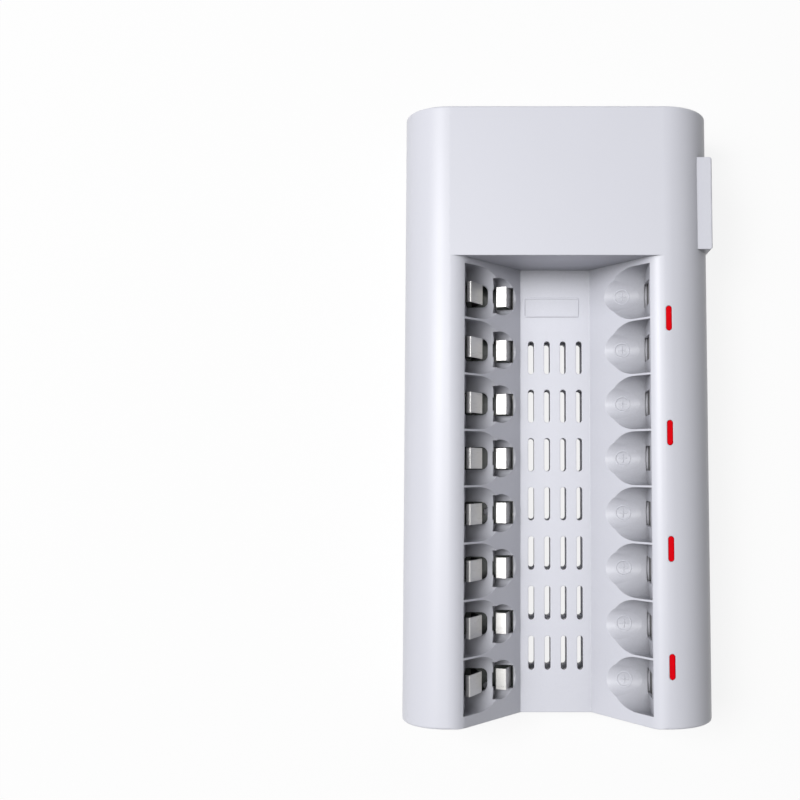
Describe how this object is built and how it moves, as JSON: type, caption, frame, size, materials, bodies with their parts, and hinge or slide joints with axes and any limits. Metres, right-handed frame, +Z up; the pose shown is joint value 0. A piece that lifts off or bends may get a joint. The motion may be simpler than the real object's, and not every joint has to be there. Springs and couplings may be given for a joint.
{
  "type": "battery charger",
  "caption": "Battery charger with a long central channel, rows of cell bays with sprung leaves, vent slots, indicator bars and a mains inlet on one side.",
  "frame": {"origin": "middle of the footprint, on the surface that the rubber feet stand on", "axes": "+Z up out of the battery side, +Y towards the closed head that holds the mains side, +X towards the side with the inlet and indicator bars"},
  "size_m": [0.0875, 0.1716, 0.031],
  "materials": {
    "case_plastic": "satin light grey moulded plastic with a very fine texture",
    "board": "green solder mask",
    "screw_steel": "plated steel",
    "foot_rubber": "soft dark rubber",
    "contact_nickel": "bright nickel plating on spring strip",
    "red_lens": "clear red light pipe",
    "led_epoxy": "tinted clear resin",
    "black_plastic": "black moulded plastic",
    "pin_nickel": "nickel plated brass",
    "lead_insulation": "insulated wire",
    "ferrite": "dull dark ferrite",
    "winding_tape": "yellow polyester tape",
    "capacitor_sleeve": "dark shrink sleeve",
    "fuse_glass": "glass tube with plated caps"
  },
  "bodies": {
    "case": {"top_shell": "case_plastic", "bottom_shell": "case_plastic", "main_board": "board", "case_screws": "screw_steel", "rubber_feet": "foot_rubber", "positive_contact_1": "contact_nickel", "positive_contact_2": "contact_nickel", "positive_contact_3": "contact_nickel", "positive_contact_4": "contact_nickel", "positive_contact_5": "contact_nickel", "positive_contact_6": "contact_nickel", "positive_contact_7": "contact_nickel", "positive_contact_8": "contact_nickel", "light_pipe_1": "red_lens", "light_pipe_2": "red_lens", "light_pipe_3": "red_lens", "light_pipe_4": "red_lens", "indicator_led_1": "led_epoxy", "indicator_led_2": "led_epoxy", "indicator_led_3": "led_epoxy", "indicator_led_4": "led_epoxy", "inlet_housing": "black_plastic", "bridge_rectifier": "black_plastic", "switching_transistor": "black_plastic", "charge_controller": "black_plastic", "inlet_pin_front": "pin_nickel", "inlet_pin_back": "pin_nickel", "inlet_leads": "lead_insulation", "transformer_core": "ferrite", "transformer_winding": "winding_tape", "film_capacitor": "winding_tape", "bulk_capacitor": "capacitor_sleeve", "output_capacitor": "capacitor_sleeve", "fuse": "fuse_glass"},
    "aa_leaf_1": {"aa_spring_1": "contact_nickel"},
    "aa_leaf_2": {"aa_spring_2": "contact_nickel"},
    "aa_leaf_3": {"aa_spring_3": "contact_nickel"},
    "aa_leaf_4": {"aa_spring_4": "contact_nickel"},
    "aa_leaf_5": {"aa_spring_5": "contact_nickel"},
    "aa_leaf_6": {"aa_spring_6": "contact_nickel"},
    "aa_leaf_7": {"aa_spring_7": "contact_nickel"},
    "aa_leaf_8": {"aa_spring_8": "contact_nickel"},
    "aaa_leaf_1": {"aaa_spring_1": "contact_nickel"},
    "aaa_leaf_2": {"aaa_spring_2": "contact_nickel"},
    "aaa_leaf_3": {"aaa_spring_3": "contact_nickel"},
    "aaa_leaf_4": {"aaa_spring_4": "contact_nickel"},
    "aaa_leaf_5": {"aaa_spring_5": "contact_nickel"},
    "aaa_leaf_6": {"aaa_spring_6": "contact_nickel"},
    "aaa_leaf_7": {"aaa_spring_7": "contact_nickel"},
    "aaa_leaf_8": {"aaa_spring_8": "contact_nickel"}
  },
  "joints": [
    {"name": "aa_leaf_1_flex", "type": "hinge", "parent": "case", "child": "aa_leaf_1", "pos_m": [-0.0242, 0.034, 0.0091], "axis": [0, -1, 0], "range_deg": [0, 17.5], "stiffness_Nm_per_rad": 0.06},
    {"name": "aa_leaf_2_flex", "type": "hinge", "parent": "case", "child": "aa_leaf_2", "pos_m": [-0.0242, 0.0184, 0.0091], "axis": [0, -1, 0], "range_deg": [0, 17.5], "stiffness_Nm_per_rad": 0.06},
    {"name": "aa_leaf_3_flex", "type": "hinge", "parent": "case", "child": "aa_leaf_3", "pos_m": [-0.0242, 0.0028, 0.0091], "axis": [0, -1, 0], "range_deg": [0, 17.5], "stiffness_Nm_per_rad": 0.06},
    {"name": "aa_leaf_4_flex", "type": "hinge", "parent": "case", "child": "aa_leaf_4", "pos_m": [-0.0242, -0.0128, 0.0091], "axis": [0, -1, 0], "range_deg": [0, 17.5], "stiffness_Nm_per_rad": 0.06},
    {"name": "aa_leaf_5_flex", "type": "hinge", "parent": "case", "child": "aa_leaf_5", "pos_m": [-0.0242, -0.0284, 0.0091], "axis": [0, -1, 0], "range_deg": [0, 17.5], "stiffness_Nm_per_rad": 0.06},
    {"name": "aa_leaf_6_flex", "type": "hinge", "parent": "case", "child": "aa_leaf_6", "pos_m": [-0.0242, -0.044, 0.0091], "axis": [0, -1, 0], "range_deg": [0, 17.5], "stiffness_Nm_per_rad": 0.06},
    {"name": "aa_leaf_7_flex", "type": "hinge", "parent": "case", "child": "aa_leaf_7", "pos_m": [-0.0242, -0.0596, 0.0091], "axis": [0, -1, 0], "range_deg": [0, 17.5], "stiffness_Nm_per_rad": 0.06},
    {"name": "aa_leaf_8_flex", "type": "hinge", "parent": "case", "child": "aa_leaf_8", "pos_m": [-0.0242, -0.0752, 0.0091], "axis": [0, -1, 0], "range_deg": [0, 17.5], "stiffness_Nm_per_rad": 0.06},
    {"name": "aaa_leaf_1_flex", "type": "hinge", "parent": "case", "child": "aaa_leaf_1", "pos_m": [-0.01311, 0.034, 0.0091], "axis": [0, -1, 0], "range_deg": [0, 22.5], "stiffness_Nm_per_rad": 0.06},
    {"name": "aaa_leaf_2_flex", "type": "hinge", "parent": "case", "child": "aaa_leaf_2", "pos_m": [-0.01311, 0.0184, 0.0091], "axis": [0, -1, 0], "range_deg": [0, 22.5], "stiffness_Nm_per_rad": 0.06},
    {"name": "aaa_leaf_3_flex", "type": "hinge", "parent": "case", "child": "aaa_leaf_3", "pos_m": [-0.01311, 0.0028, 0.0091], "axis": [0, -1, 0], "range_deg": [0, 22.5], "stiffness_Nm_per_rad": 0.06},
    {"name": "aaa_leaf_4_flex", "type": "hinge", "parent": "case", "child": "aaa_leaf_4", "pos_m": [-0.01311, -0.0128, 0.0091], "axis": [0, -1, 0], "range_deg": [0, 22.5], "stiffness_Nm_per_rad": 0.06},
    {"name": "aaa_leaf_5_flex", "type": "hinge", "parent": "case", "child": "aaa_leaf_5", "pos_m": [-0.01311, -0.0284, 0.0091], "axis": [0, -1, 0], "range_deg": [0, 22.5], "stiffness_Nm_per_rad": 0.06},
    {"name": "aaa_leaf_6_flex", "type": "hinge", "parent": "case", "child": "aaa_leaf_6", "pos_m": [-0.01311, -0.044, 0.0091], "axis": [0, -1, 0], "range_deg": [0, 22.5], "stiffness_Nm_per_rad": 0.06},
    {"name": "aaa_leaf_7_flex", "type": "hinge", "parent": "case", "child": "aaa_leaf_7", "pos_m": [-0.01311, -0.0596, 0.0091], "axis": [0, -1, 0], "range_deg": [0, 22.5], "stiffness_Nm_per_rad": 0.06},
    {"name": "aaa_leaf_8_flex", "type": "hinge", "parent": "case", "child": "aaa_leaf_8", "pos_m": [-0.01311, -0.0752, 0.0091], "axis": [0, -1, 0], "range_deg": [0, 22.5], "stiffness_Nm_per_rad": 0.06}
  ]
}
